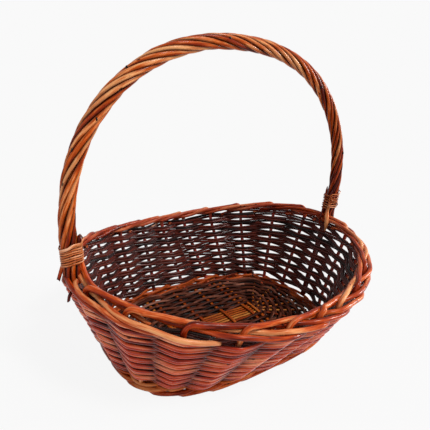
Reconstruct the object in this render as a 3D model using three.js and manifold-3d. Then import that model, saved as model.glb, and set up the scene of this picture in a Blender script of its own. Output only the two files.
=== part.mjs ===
// Oval willow basket with a fixed, roped bow handle.
// Millimetres, +Z up. The origin is on the floor under the middle of the base, and the handle
// arches along X. Angles round the basket run anticlockwise seen from above, from +X.
import * as THREE from 'three';
import { mergeVertices } from 'three/addons/utils/BufferGeometryUtils.js';
import Module from 'manifold-3d';

const wasm = await Module();
wasm.setup();

// Basket wall: it stands between two ovals
const baseHalfLength = 157;       // outer edge on the floor
const baseHalfWidth = 108;
const baseSquareness = 3.1;       // 2 is an ellipse, more is nearer a rectangle
const rimHalfLength = 200;        // middle of the border
const rimHalfWidth = 168;
const rimSquareness = 2.1;
const rimHeight = 120;            // middle of the border, averaged round the rim
const rimRise = 11.5;             // both ends stand this far above that, both sides below
const rimTilt = 6;                // the right end is drawn up this far, the left end down
const rimTwist = 3.5;             // degrees that the rim is turned against the base
const wallThickness = 11;
const waleHeight = 14;            // heavy rounds of weaving where the wall starts
const weaveRows = 20;             // of the siding above it
const weaveHigh = 6.9;            // siding's face out from its middle, where a rod passes a stake
const weaveLow = 3.9;             // and where the rod passes on the stake's other side
const clearance = 0.3;            // between pieces that touch

// Stakes: one rod each, up through the wall and down into the border
const stakeCount = 24;            // two of the places are taken by the ends of the handle bow
const stakeDiameter = 5.4;
const stakeFoot = 3;              // height of a stake's cut end
const stakeDrift = 10;            // stakes stand this far round from even spacing at the sides
const stakeSides = 5;
const rodClearance = 0.4;         // between two rods of the border
const columnShift = 0.04;         // rod spacings out, where a stake passes up through the border
const knuckleLift = 1.04;         // rod spacings up, where it turns over on top
const knuckleReach = 0.9;         // stake thicknesses along, that the turn takes
const knuckleCorner = 0.3;        // share of the turn that is rounded off

// Base: a slath of split cross sticks with long sticks pushed through
const baseThickness = 11;
const longStickCount = 6;
const longStickDiameter = 4.4;
const longStickGap = 0.6;         // between neighbours in the slath
const longStickSpread = 27;       // between neighbours where they fan out at the base's edge
const crossStickSides = 8;
const crossStickDiameter = 8;
const crossStickPlaces = [-68, -57, -19, 19, 57, 68];
const slathMargin = 5;            // bare slath past the outermost cross sticks
const slathFloor = 1.3;           // weaving left under the bare slath
const baseGapWidth = 4;           // openings between the rods of the base's weaving
const baseGapLength = 26;
const baseGapPlaces = [-38, 0, 38];
const baseGapRows = 4;            // on each side of the slath
const baseGapStep = 16;           // from row to row
const endGapShare = [0.3, 0.8];   // and at both ends, along the spaces between the long sticks

// Handle: a bow with thinner rods wound round it like a rope
const archHalfWidth = 202.3;      // middle of the bow, at its widest
const archShoulder = 183;         // height where it is widest
const archHeight = 375;           // middle of the bow, at the top
const archSquareness = 2.18;
const archLean = 3;               // the top stands this far forward of the feet
const footForward = 5;            // and the feet this far forward of the bow's pared ends
const bowDiameter = 7.2;
const bowEndDiameter = 5.2;       // pared where it passes the border
const bowReach = 0.85;            // share of the wall that the pared ends go down
const handleRodCount = 8;
const handleRodDiameter = 4.4;
const handleRodClearance = 0.6;   // to the bow
const handleTurns = 4.5;          // of each rod, from foot to foot
const handleRodSides = 5;

// Bindings: a skein wound round each foot, over the handle and two bound sticks
const bindingLoops = { left: 8, right: 10 };
const bindingStart = { left: 2, right: 4 };    // first loop's height above the foot
const loopSteps = 24;
const skeinDiameter = 1.8;
const skeinGap = 0.7;             // between loops
const boundStickDiameter = 4.2;
const boundStickSide = 5;         // sideways from the handle's middle line
const boundStickTip = 9;          // past the top of the binding
const boundStickDrop = 10;        // below the middle of the border
const footClearance = 1.2;        // between the border and what stands on it

// Thin rods and sticks have this many sides
const rodSides = 6;

// Stained and varnished willow: colour and roughness
const finishes = {
  stake: { color: 0x8a3418, roughness: 0.45 },
  wale: { color: 0xa8481f, roughness: 0.45 },
  siding: { color: 0x7c2f1a, roughness: 0.5 },
  base: { color: 0x5a2a1a, roughness: 0.55 },
  slath: { color: 0xbe6b2b, roughness: 0.4 },
  handle: { color: 0xb5501f, roughness: 0.35 },
  bound: { color: 0x9a3d1a, roughness: 0.45 },
  skein: { color: 0xc06a35, roughness: 0.35 },
};

const rimTwistRadians = THREE.MathUtils.degToRad(rimTwist);
const rodSpacing = stakeDiameter + rodClearance;

// A stake's way through the border: stake spaces along, then rod spacings out and up from the
// middle. It knuckles over on top, runs along the inner edge behind two stakes, dips under the
// rods laid after it and comes out in front of the next two.
const borderRoute = [
  [0.3, -0.34, 1.0],
  [0.6, -0.7, 0.84],
  [1, -0.99, 0.52],
  [1.4, -1.12, 0.1],
  [1.7, -1.1, -0.22],
  [2, -0.99, -0.52],
  [2.4, -0.1, -1.04],
  [2.75, 0.85, -0.75],
  [3, 1.16, -0.6],
  [3.5, 1.55, -1.1],
  [4, 1.72, -1.6],
];
const columnOut = columnShift * rodSpacing;
const knuckleUp = knuckleLift * rodSpacing;
const borderDrop = knuckleUp + stakeDiameter / 2 + clearance;

function oval(halfLength, halfWidth, squareness, angle) {
  const c = Math.cos(angle);
  const s = Math.sin(angle);
  return new THREE.Vector2(
    halfLength * Math.sign(c) * Math.abs(c) ** (2 / squareness),
    halfWidth * Math.sign(s) * Math.abs(s) ** (2 / squareness),
  );
}

function rimOval(angle, out = 0) {
  const flat = oval(rimHalfLength + out, rimHalfWidth + out, rimSquareness, angle);
  return flat.rotateAround(new THREE.Vector2(), rimTwistRadians);
}

function rimZ(angle) {
  return rimHeight + rimRise * Math.cos(2 * angle) + rimTilt * Math.cos(angle);
}

function wallTop(angle) {
  return rimZ(angle) - borderDrop;
}

// A point of the wall, out from its middle
function wallPoint(angle, height, out = 0) {
  const grow = out - wallThickness / 2;
  const foot = oval(baseHalfLength + grow, baseHalfWidth + grow, baseSquareness, angle);
  const flat = foot.lerp(rimOval(angle, out), height / wallTop(angle));
  return new THREE.Vector3(flat.x, flat.y, height);
}

// Angle of a stake by its number, which need not be whole. The stakes share the way round the
// wall evenly, apart from the drift, and numbers 0 and half way round are the handle's places.
const turn = 2 * Math.PI;
const wayRound = [0];
const waySteps = 720;
for (let i = 1; i <= waySteps; i += 1) {
  const from = (turn * (i - 1)) / waySteps - rimTwistRadians;
  const to = (turn * i) / waySteps - rimTwistRadians;
  const middle = rimHeight / 2;
  wayRound.push(wayRound[i - 1] + wallPoint(from, middle).distanceTo(wallPoint(to, middle)));
}

function stakeAngle(number) {
  const laps = Math.floor(number / stakeCount);
  const share = number / stakeCount - laps;
  const drift = stakeDrift * Math.sin(turn * share) ** 2;
  const way = Math.min(share * wayRound[waySteps] + drift, wayRound[waySteps]);
  const next = Math.max(wayRound.findIndex((value) => value >= way), 1);
  const part = (way - wayRound[next - 1]) / (wayRound[next] - wayRound[next - 1]);
  return (turn * (next - 1 + part)) / waySteps + turn * laps - rimTwistRadians;
}

// A point in or near the border, out and up from its middle
function borderPoint(number, out, up) {
  const angle = stakeAngle(number);
  const step = turn / waySteps;
  const along = rimOval(angle + step).sub(rimOval(angle - step)).normalize();
  const flat = rimOval(angle).add(new THREE.Vector2(along.y, -along.x).multiplyScalar(out));
  return new THREE.Vector3(flat.x, flat.y, rimZ(angle) + up);
}

// A curve through points that keeps its steps where the points are
class RodCurve extends THREE.Curve {
  constructor(points) {
    super();
    this.points = points;
  }

  getPoint(t, target = new THREE.Vector3()) {
    const place = THREE.MathUtils.clamp(t, 0, 1) * (this.points.length - 1);
    const index = Math.min(Math.floor(place), this.points.length - 2);
    return target.lerpVectors(this.points[index], this.points[index + 1], place - index);
  }

  getUtoTmapping(u) {
    return u;
  }
}

function rod(points, diameter, sides) {
  const section = new THREE.Shape();
  for (let i = 0; i < sides; i += 1) {
    const angle = (turn * i) / sides;
    const x = (diameter / 2) * Math.cos(angle);
    const y = (diameter / 2) * Math.sin(angle);
    if (i === 0) {
      section.moveTo(x, y);
    } else {
      section.lineTo(x, y);
    }
  }
  const steps = points.length - 1;
  return new THREE.ExtrudeGeometry(section, { steps, extrudePath: new RodCurve(points) });
}

// The space that a rod needs where it is stuck through weaving, with its flats clear of the rod
function hole(points, diameter) {
  return rod(points, (diameter + 2 * clearance) / Math.cos(Math.PI / rodSides), rodSides);
}

const mergeDistance = 1e-4;

function toSolid(geometry) {
  const bare = geometry.clone();
  bare.deleteAttribute('normal');
  bare.deleteAttribute('uv');
  const merged = mergeVertices(bare, mergeDistance);
  const index = Array.from(merged.index.array);
  const triVerts = [];
  for (let i = 0; i < index.length; i += 3) {
    const [a, b, c] = index.slice(i, i + 3);
    if (a !== b && b !== c && c !== a) triVerts.push(a, b, c);
  }
  return new wasm.Manifold(new wasm.Mesh({
    numProp: 3,
    vertProperties: Float32Array.from(merged.attributes.position.array),
    triVerts: Uint32Array.from(triVerts),
  }));
}

function toGeometry(solid) {
  const { vertProperties, triVerts } = solid.getMesh();
  const geometry = new THREE.BufferGeometry();
  geometry.setAttribute('position', new THREE.BufferAttribute(vertProperties, 3));
  geometry.setIndex(new THREE.BufferAttribute(triVerts, 1));
  return geometry;
}

function cut(geometry, tools) {
  let solid = toSolid(geometry);
  for (const tool of tools) {
    solid = solid.subtract(toSolid(tool));
  }
  return toGeometry(solid);
}

// Rings of points, each joined to the next; the last ring joins the first. On a woven face every
// second square is split the other way, so that each raised point is a peak of its own.
function closedLoft(rings, woven = false) {
  const points = rings.flat();
  const size = rings[0].length;
  const index = [];
  for (let ring = 0; ring < rings.length; ring += 1) {
    const next = (ring + 1) % rings.length;
    for (let i = 0; i < size; i += 1) {
      const j = (i + 1) % size;
      const a = ring * size + i;
      const b = ring * size + j;
      const c = next * size + i;
      const d = next * size + j;
      if (woven && (ring + i) % 2 === 0) {
        index.push(a, c, d, a, d, b);
      } else {
        index.push(a, c, b, b, c, d);
      }
    }
  }
  const geometry = new THREE.BufferGeometry().setFromPoints(points);
  geometry.setIndex(index);
  return geometry;
}

const basket = new THREE.Group();

function addPiece(name, geometry, finish) {
  const willow = new THREE.MeshStandardMaterial({ ...finishes[finish], metalness: 0 });
  const mesh = new THREE.Mesh(geometry, willow);
  mesh.name = name;
  basket.add(mesh);
}

// Stakes
const halfCount = stakeCount / 2;
const handlePlaces = [halfCount, 0];            // left foot, right foot

function wallStretch(number, from) {
  const angle = stakeAngle(number);
  return [wallPoint(angle, from), wallPoint(angle, wallTop(angle))];
}

function stakePoints(number) {
  const knuckle = stakeDiameter * knuckleReach;
  const start = borderPoint(number, columnOut, knuckleUp);
  const ahead = borderPoint(number + borderRoute[0][0], columnOut, knuckleUp);
  const along = ahead.sub(start).setZ(0).normalize();
  const column = borderPoint(number, columnOut, knuckleUp - knuckle);
  const bend = start.clone().addScaledVector(along, knuckle * knuckleCorner);
  bend.z -= knuckle * knuckleCorner;
  const over = start.clone().addScaledVector(along, knuckle);
  const laid = borderRoute.map(
    ([spaces, out, up]) => borderPoint(number + spaces, out * rodSpacing, up * rodSpacing),
  );
  return [...wallStretch(number, stakeFoot), column, bend, over, ...laid];
}

const stakeNumbers = [];
for (let number = 0; number < stakeCount; number += 1) {
  if (!handlePlaces.includes(number)) stakeNumbers.push(number);
}
for (const number of stakeNumbers) {
  const name = `stake_${String(number).padStart(2, '0')}`;
  addPiece(name, rod(stakePoints(number), stakeDiameter, stakeSides), 'stake');
}

// The holes that stakes and bow ends leave in the weaving
function holeInWall(number, from, diameter) {
  const [low, high] = wallStretch(number, from);
  const above = borderPoint(number, columnOut, 0);
  return hole([low, high, above], diameter);
}

const stakeHoles = stakeNumbers.map(
  (number) => holeInWall(number, stakeFoot - clearance, stakeDiameter),
);
const bowHoles = handlePlaces.map((number) => {
  const bottom = (1 - bowReach) * wallTop(stakeAngle(number)) - clearance;
  return holeInWall(number, bottom, bowEndDiameter);
});

// Woven wall and the wale under it, as closed shells: only the siding has its weave's main relief
const wallSegments = 60;

function wallShell(bottom, top) {
  const rings = [];
  for (let i = 0; i < wallSegments; i += 1) {
    const angle = (turn * i) / wallSegments;
    const low = bottom(angle);
    const high = top(angle);
    rings.push([
      wallPoint(angle, low, wallThickness / 2),
      wallPoint(angle, high, wallThickness / 2),
      wallPoint(angle, high, -wallThickness / 2),
      wallPoint(angle, low, -wallThickness / 2),
    ]);
  }
  return closedLoft(rings);
}

// The siding's rods pass the stakes in front and behind in turn, row by row
function wovenShell(bottom) {
  const rings = [];
  for (let number = 0; number < stakeCount; number += 1) {
    const angle = stakeAngle(number);
    const top = wallTop(angle);
    const outer = [wallPoint(angle, bottom, wallThickness / 2)];
    const inner = [wallPoint(angle, bottom, -wallThickness / 2)];
    for (let row = 0; row < weaveRows; row += 1) {
      const height = bottom + ((top - bottom) * (row + 0.5)) / weaveRows;
      const inFront = (number + row) % 2 === 0;
      outer.push(wallPoint(angle, height, inFront ? weaveHigh : weaveLow));
      inner.push(wallPoint(angle, height, inFront ? -weaveLow : -weaveHigh));
    }
    outer.push(wallPoint(angle, top, wallThickness / 2));
    inner.push(wallPoint(angle, top, -wallThickness / 2));
    rings.push([...outer, ...inner.reverse()]);
  }
  return closedLoft(rings, true);
}

const wale = wallShell(() => 0, () => waleHeight);
const siding = wovenShell(waleHeight + clearance);
addPiece('upsett_wale', cut(wale, stakeHoles), 'wale');
addPiece('siding', cut(siding, [...stakeHoles, ...bowHoles]), 'siding');

// Base
const plateHalfLength = baseHalfLength - wallThickness - clearance;
const plateHalfWidth = baseHalfWidth - wallThickness - clearance;
const stickHeight = baseThickness / 2;
const slathHalfWidth = ((longStickDiameter + longStickGap) * longStickCount) / 2;
const slathHalfLength = Math.max(...crossStickPlaces) + slathMargin;

// Half of the base's width at a place along it, or of its length at a place across it
function plateReach(place, alongHalf, acrossHalf) {
  const share = Math.min(Math.abs(place) / alongHalf, 1);
  return acrossHalf * (1 - share ** baseSquareness) ** (1 / baseSquareness);
}

function longStickPoints(index, extra) {
  const place = index - (longStickCount - 1) / 2;
  const near = place * (longStickDiameter + longStickGap);
  const far = place * longStickSpread;
  const reach = plateReach(far, plateHalfWidth, plateHalfLength) - longStickDiameter + extra;
  return [
    new THREE.Vector3(-reach, far, stickHeight),
    new THREE.Vector3(-slathHalfLength, near, stickHeight),
    new THREE.Vector3(slathHalfLength, near, stickHeight),
    new THREE.Vector3(reach, far, stickHeight),
  ];
}

function crossStickPoints(place, extra) {
  const reach = plateReach(place, plateHalfLength, plateHalfWidth) - longStickDiameter + extra;
  return [
    new THREE.Vector3(place, -reach, stickHeight),
    new THREE.Vector3(place, reach, stickHeight),
  ];
}

const slit = new THREE.BoxGeometry(
  2 * slathHalfLength,
  2 * slathHalfWidth + clearance,
  longStickDiameter + 2 * clearance,
).translate(0, 0, stickHeight);

const longNumbers = Array.from({ length: longStickCount }, (_, index) => index);
for (const index of longNumbers) {
  const stick = rod(longStickPoints(index, 0), longStickDiameter, rodSides);
  addPiece(`base_long_stick_${index + 1}`, stick, 'slath');
}
crossStickPlaces.forEach((place, index) => {
  const stick = rod(crossStickPoints(place, 0), crossStickDiameter, crossStickSides);
  addPiece(`base_cross_stick_${index + 1}`, cut(stick, [slit]), 'slath');
});

const plateOutline = new THREE.Shape();
for (let i = 0; i < wallSegments; i += 1) {
  const point = oval(plateHalfLength, plateHalfWidth, baseSquareness, (turn * i) / wallSegments);
  if (i === 0) {
    plateOutline.moveTo(point.x, point.y);
  } else {
    plateOutline.lineTo(point.x, point.y);
  }
}
const plate = new THREE.ExtrudeGeometry(plateOutline, { depth: baseThickness, bevelEnabled: false });
const slathWindow = new THREE.BoxGeometry(
  2 * slathHalfLength,
  2 * slathHalfWidth + crossStickDiameter,
  baseThickness,
).translate(0, 0, slathFloor + baseThickness / 2);
const stickHoles = [
  ...longNumbers.map((index) => hole(longStickPoints(index, clearance), longStickDiameter)),
  ...crossStickPlaces.map((place) => hole(crossStickPoints(place, clearance), crossStickDiameter)),
];

// Openings in the weaving: rows beside the slath, and one in each space between two long sticks
function gapBox(length) {
  return new THREE.BoxGeometry(length, baseGapWidth, 3 * baseThickness);
}

const baseGaps = [];
for (const place of baseGapPlaces) {
  for (let row = 0; row < baseGapRows; row += 1) {
    const out = slathHalfWidth + crossStickDiameter + baseGapWidth + row * baseGapStep;
    baseGaps.push(gapBox(baseGapLength).translate(place, out, 0));
    baseGaps.push(gapBox(baseGapLength).translate(place, -out, 0));
  }
}
const fanned = longNumbers.map((index) => longStickPoints(index, 0));
for (const index of longNumbers.slice(1)) {
  const [far, near] = [0, 1].map(
    (point) => fanned[index - 1][point].clone().lerp(fanned[index][point], 0.5),
  );
  const [from, to] = endGapShare.map((share) => near.clone().lerp(far, share));
  const middle = from.clone().lerp(to, 0.5);
  for (const turned of [0, Math.PI]) {
    const gap = gapBox(from.distanceTo(to));
    gap.rotateZ(Math.atan2(to.y - from.y, to.x - from.x)).translate(middle.x, middle.y, 0);
    baseGaps.push(gap.rotateZ(turned));
  }
}
addPiece('base_weave', cut(plate, [slathWindow, ...stickHoles, ...baseGaps]), 'base');

// Handle
const borderTop = knuckleUp + stakeDiameter / 2;

function archFoot(number) {
  const foot = borderPoint(number, columnOut, borderTop + footClearance);
  foot.y -= footForward;
  return foot;
}

function archPoint(side, height) {
  const foot = archFoot(side < 0 ? handlePlaces[0] : handlePlaces[1]);
  const rise = (height - foot.z) / (archHeight - foot.z);
  const y = foot.y - archLean * rise;
  if (height < archShoulder) {
    const below = (archShoulder - height) / (archShoulder - foot.z);
    const inset = archHalfWidth - Math.abs(foot.x);
    return new THREE.Vector3(side * (archHalfWidth - inset * below ** 2), y, height);
  }
  const share = (height - archShoulder) / (archHeight - archShoulder);
  const x = archHalfWidth * (1 - Math.min(share, 1) ** archSquareness) ** (1 / archSquareness);
  return new THREE.Vector3(side * x, y, height);
}

function archSide(side) {
  const legPoints = 4;
  const bowPoints = 10;
  const points = [];
  const foot = archFoot(side < 0 ? handlePlaces[0] : handlePlaces[1]);
  for (let i = 0; i < legPoints; i += 1) {
    points.push(archPoint(side, foot.z + ((archShoulder - foot.z) * i) / legPoints));
  }
  for (let i = 0; i < bowPoints; i += 1) {
    const lift = Math.sin((Math.PI / 2) * (i / bowPoints)) ** (2 / archSquareness);
    points.push(archPoint(side, archShoulder + (archHeight - archShoulder) * lift));
  }
  return points;
}

const archTop = archPoint(1, archHeight);
const archLine = new THREE.CatmullRomCurve3(
  [...archSide(-1), archTop, ...archSide(1).reverse()],
  false,
  'centripetal',
);
archLine.arcLengthDivisions = 600;
const archSteps = 36;
const bowPath = archLine.getSpacedPoints(archSteps);
let bow = toSolid(rod(bowPath, bowDiameter, rodSides));
for (const number of handlePlaces) {
  const angle = stakeAngle(number);
  const [low, high] = wallStretch(number, (1 - bowReach) * wallTop(angle));
  const column = borderPoint(number, columnOut, -borderDrop + bowEndDiameter / 2);
  const above = borderPoint(number, columnOut, bowEndDiameter / 2);
  const side = number === 0 ? 1 : -1;
  const inside = archPoint(side, archFoot(number).z + bowDiameter);
  const way = [low, high, column, above, archFoot(number), inside];
  const end = rod(way, bowEndDiameter, rodSides);
  bow = bow.add(toSolid(end));
}
addPiece('handle_bow', toGeometry(bow), 'handle');

// Rods wound round the bow, from foot to foot
const ropeRadius = bowDiameter / 2 + handleRodClearance + handleRodDiameter / 2;
const ropeOutside = ropeRadius + handleRodDiameter / 2;

function handleRodPoints(index) {
  const points = [];
  for (let i = 0; i <= archSteps; i += 1) {
    const along = i / archSteps;
    const tangent = archLine.getTangentAt(along);
    const back = new THREE.Vector3(0, 1, 0).addScaledVector(tangent, -tangent.y).normalize();
    const outward = tangent.clone().cross(back);
    const angle = turn * (index / handleRodCount + handleTurns * along);
    points.push(archLine.getPointAt(along)
      .addScaledVector(outward, ropeRadius * Math.cos(angle))
      .addScaledVector(back, -ropeRadius * Math.sin(angle)));
  }
  return points;
}

for (let index = 0; index < handleRodCount; index += 1) {
  const shape = rod(handleRodPoints(index), handleRodDiameter, handleRodSides);
  addPiece(`handle_rod_${index + 1}`, shape, 'handle');
}

// Bound sticks stand against the inside of each foot, and a taut skein goes round them all
const boundRadius = ropeOutside + clearance + boundStickDiameter / 2;
const boundInward = Math.sqrt(boundRadius ** 2 - boundStickSide ** 2);
const borderInside = Math.max(...borderRoute.map(([, out]) => -out)) * rodSpacing;
const boundPass = borderInside + (stakeDiameter + boundStickDiameter) / 2 + 3 * clearance;
const bindingPitch = skeinDiameter + skeinGap;

// Top of a foot's binding above the foot itself
function bindingTop(side) {
  const name = side < 0 ? 'left' : 'right';
  return bindingStart[name] + bindingPitch * bindingLoops[name];
}

// Middle of a bundle member at a height: 0 is the handle, 1 and 2 are the bound sticks
function bundlePoint(side, member, height) {
  const middle = archPoint(side, height);
  if (member === 0) return middle;
  middle.x -= side * boundInward;
  middle.y += boundStickSide * (member === 1 ? 1 : -1);
  return middle;
}

function boundStick(side, member) {
  const number = side < 0 ? handlePlaces[0] : handlePlaces[1];
  const footZ = archFoot(number).z;
  const top = footZ + bindingTop(side) + boundStickTip;
  const bottom = rimZ(stakeAngle(number)) - boundStickDrop;
  const points = [footZ, footZ + bindingTop(side) / 2, top].map(
    (height) => bundlePoint(side, member, height),
  );
  const beside = borderPoint(number, -boundPass, 0).setY(points[0].y);
  const low = beside.clone().setZ(bottom);
  return rod([low, beside, ...points], boundStickDiameter, rodSides);
}

function bindingPoints(side, name) {
  const number = side < 0 ? handlePlaces[0] : handlePlaces[1];
  const start = archFoot(number).z + bindingStart[name];
  const points = [];
  for (let i = 0; i <= bindingLoops[name] * loopSteps; i += 1) {
    const angle = (turn * i) / loopSteps;
    const height = start + (bindingPitch * i) / loopSteps;
    const outward = new THREE.Vector3(Math.cos(angle), Math.sin(angle), 0);
    const edges = [0, 1, 2].map((member) => {
      const radius = (member === 0 ? ropeOutside : boundStickDiameter / 2)
        + clearance + skeinDiameter / 2;
      return bundlePoint(side, member, height).addScaledVector(outward, radius);
    });
    edges.sort((first, second) => second.dot(outward) - first.dot(outward));
    points.push(edges[0]);
  }
  return points;
}

// Least gap of a winding to itself, between points more than half a loop apart
function leastGap(points, diameter) {
  let least = Infinity;
  for (let i = 0; i < points.length; i += 1) {
    for (let j = i + loopSteps / 2; j < points.length; j += 1) {
      least = Math.min(least, points[i].distanceTo(points[j]));
    }
  }
  return least - diameter;
}

for (const [side, name] of [[-1, 'left'], [1, 'right']]) {
  for (const member of [1, 2]) {
    addPiece(`bound_stick_${name}_${member}`, boundStick(side, member), 'bound');
  }
  const points = bindingPoints(side, name);
  console.log(`binding_${name}: least gap to itself ${leastGap(points, skeinDiameter).toFixed(2)} mm`);
  addPiece(`binding_${name}`, rod(points, skeinDiameter, rodSides), 'skein');
}

export default basket;
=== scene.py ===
import math

import bpy
import numpy as np
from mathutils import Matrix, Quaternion, Vector


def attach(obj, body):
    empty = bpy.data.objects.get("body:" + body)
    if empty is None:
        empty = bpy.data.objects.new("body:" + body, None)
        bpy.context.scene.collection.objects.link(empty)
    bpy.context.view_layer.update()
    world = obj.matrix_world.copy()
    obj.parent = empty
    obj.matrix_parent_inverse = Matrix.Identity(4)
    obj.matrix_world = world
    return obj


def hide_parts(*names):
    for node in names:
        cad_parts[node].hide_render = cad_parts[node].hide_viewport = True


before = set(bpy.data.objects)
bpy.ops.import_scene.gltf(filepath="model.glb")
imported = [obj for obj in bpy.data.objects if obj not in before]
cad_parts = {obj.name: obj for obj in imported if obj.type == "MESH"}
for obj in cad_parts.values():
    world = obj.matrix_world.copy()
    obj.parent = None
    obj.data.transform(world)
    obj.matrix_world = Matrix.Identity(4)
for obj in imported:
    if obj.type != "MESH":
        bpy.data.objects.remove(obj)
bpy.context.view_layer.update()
bpy.ops.object.select_all(action="DESELECT")
scene = bpy.context.scene
print("frame loaded:", len(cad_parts), "nodes")

# Shapes are worked out in millimetres, angles in radians unless they say degrees
mm = 0.001
turn = 2 * math.pi

# Camera, where the photograph was taken from
cameraPlace = {
    "azimuth": -35.46,      # degrees
    "elevation": 18.43,
    "roll": 4.32,
    "distance": 580.4,
    "aim": (19.6, 52.0, 148.1),
    "lens": 33.49,          # focal length
    "sensor": 36,
    "nearest": 10,          # nothing closer is seen
}


def placeCamera():
    azimuth = math.radians(cameraPlace["azimuth"])
    elevation = math.radians(cameraPlace["elevation"])
    back = Vector((
        math.sin(azimuth) * math.cos(elevation),
        -math.cos(azimuth) * math.cos(elevation),
        math.sin(elevation),
    ))
    place = Vector(cameraPlace["aim"]) + back * cameraPlace["distance"]
    bpy.ops.object.camera_add(location=place * mm)
    camera = bpy.context.object
    camera.rotation_mode = "QUATERNION"
    roll = Quaternion((0, 0, 1), math.radians(cameraPlace["roll"]))
    camera.rotation_quaternion = (-back).to_track_quat("-Z", "Y") @ roll
    camera.data.sensor_width = cameraPlace["sensor"]
    camera.data.lens = cameraPlace["lens"]
    camera.data.clip_start = cameraPlace["nearest"] * mm
    scene.camera = camera


placeCamera()

# The wall's shape, which places the stakes, the weaving and the border
wall = {
    "baseHalfLength": 157,      # outer edge on the floor
    "baseHalfWidth": 108,
    "baseSquareness": 3.1,
    "rimHalfLength": 200,       # middle of the border
    "rimHalfWidth": 168,
    "rimSquareness": 2.1,
    "rimHeight": 120,
    "rimRise": 11.5,            # both ends stand higher than the sides
    "rimTilt": 6,               # and the right end higher than the left
    "rimTwist": math.radians(3.5),
    "thickness": 11,
    "waleHeight": 14,
    "stakes": 24,
    "drift": 10,                # how far the stakes at the sides stand round from even spacing
    "stakeDiameter": 5.4,
    "rodSpacing": 5.8,          # between rods of the border
    "clearance": 0.3,
}
# where a stake comes up under the border, how high its turn lies, and how far down the wall ends
wall["columnOut"] = 0.04 * wall["rodSpacing"]
wall["knuckleUp"] = 1.04 * wall["rodSpacing"]
wall["borderDrop"] = wall["knuckleUp"] + wall["stakeDiameter"] / 2 + wall["clearance"]
handlePlaces = {"left": wall["stakes"] // 2, "right": 0}


def unit(vectors):
    return vectors / np.linalg.norm(vectors, axis=-1, keepdims=True)


def oval(halfLength, halfWidth, squareness, angle):
    c, s = np.cos(angle), np.sin(angle)
    power = 2 / squareness
    x = halfLength * np.sign(c) * np.abs(c) ** power
    y = halfWidth * np.sign(s) * np.abs(s) ** power
    return np.stack([x, y], -1)


def rimOval(angle, out=0):
    flat = oval(wall["rimHalfLength"] + out, wall["rimHalfWidth"] + out, wall["rimSquareness"], angle)
    c, s = math.cos(wall["rimTwist"]), math.sin(wall["rimTwist"])
    return flat @ np.array([[c, s], [-s, c]])


def rimZ(angle):
    return wall["rimHeight"] + wall["rimRise"] * np.cos(2 * angle) + wall["rimTilt"] * np.cos(angle)


def wallTop(angle):
    return rimZ(angle) - wall["borderDrop"]


# A point of the wall, out from its middle
def wallPoint(angle, height, out=0):
    angle, height, out = np.broadcast_arrays(*[np.asarray(v, float) for v in (angle, height, out)])
    grow = out - wall["thickness"] / 2
    low = oval(wall["baseHalfLength"] + grow, wall["baseHalfWidth"] + grow, wall["baseSquareness"], angle)
    share = (height / wallTop(angle))[..., None]
    flat = low + (rimOval(angle, out) - low) * share
    return np.concatenate([flat, height[..., None]], -1)


def wallOutward(angle, height):
    return unit(wallPoint(angle, height, 1) - wallPoint(angle, height, -1))


# Angle of a stake by its number, which need not be whole
waySteps = 720
wayAngles = turn * np.arange(waySteps + 1) / waySteps - wall["rimTwist"]
wayLengths = np.linalg.norm(np.diff(wallPoint(wayAngles, wall["rimHeight"] / 2), axis=0), axis=1)
wayRound = np.concatenate([[0], np.cumsum(wayLengths)])


def stakeAngle(number):
    laps = np.floor(np.asarray(number, float) / wall["stakes"])
    share = number / wall["stakes"] - laps
    way = share * wayRound[-1] + wall["drift"] * np.sin(turn * share) ** 2
    return np.interp(way, wayRound, wayAngles) + turn * laps


# A point in or near the border, out and up from its middle
def borderPoint(number, out, up):
    angle = stakeAngle(number)
    along = unit(rimOval(angle + 0.01) - rimOval(angle - 0.01))
    normal = np.stack([along[..., 1], -along[..., 0]], -1)
    flat = rimOval(angle) + normal * np.asarray(out, float)[..., None]
    return np.concatenate([flat, (rimZ(angle) + up)[..., None]], -1)


# A line in the border from a stake's place: each stop is stake spaces along, then rod spacings
# out and up from the border's middle
def borderLine(number, stops, spacing):
    return curveThrough([
        borderPoint(number + along, out * wall["rodSpacing"], up * wall["rodSpacing"])
        for along, out, up in stops], spacing)


# A smooth line through points, with a step every so many millimetres
def curveThrough(points, spacing):
    points = np.asarray(points, float)
    chord = np.maximum(np.linalg.norm(np.diff(points, axis=0), axis=1), 1e-6)
    knots = np.concatenate([[0], np.cumsum(chord)])
    slopes = np.gradient(points, knots, axis=0)
    count = max(int(round(knots[-1] / spacing)), 2)
    at = np.linspace(0, knots[-1], count + 1)
    index = np.clip(np.searchsorted(knots, at, side="right") - 1, 0, len(chord) - 1)
    span = chord[index][:, None]
    t = ((at - knots[index]) / chord[index])[:, None]
    start, end = points[index], points[index + 1]
    return (
        start * (2 * t**3 - 3 * t**2 + 1) + end * (3 * t**2 - 2 * t**3)
        + slopes[index] * span * (t**3 - 2 * t**2 + t) + slopes[index + 1] * span * (t**3 - t**2)
    )


def distanceAlong(points):
    return np.concatenate([[0], np.cumsum(np.linalg.norm(np.diff(points, axis=0), axis=1))])


def evenSteps(points, spacing):
    spaced = distanceAlong(points)
    at = np.arange(0, spaced[-1], spacing)
    return np.stack([np.interp(at, spaced, points[:, axis]) for axis in range(3)], -1)


# How rods grow, in millimetres where it isn't a share
growth = {
    "waves": ((1.0, 0.6), (0.47, 0.3), (0.21, 0.15)),     # shares of a waver's wavelength and size
    "waver": (0.025, 55),       # of the radius: share and wavelength
    "swelling": 0.07,           # share of the radius at a bud
    "swellingLength": 2.6,
    "firstBud": (10, 60),
    "budSpacing": (45, 80),
    "endPull": 0.12,            # a cut end's last ring: how far out, in radii, and its share of the radius
    "endShare": 0.84,
    # painted shade of the rods' insides and sides, for rods that give none
    "paintedShade": (0.8, 5.5, 0),     # as rodRings says, where a rod gives none
    "grainShift": 2000,         # up to this, so that no two rods show the same grain
}


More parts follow.
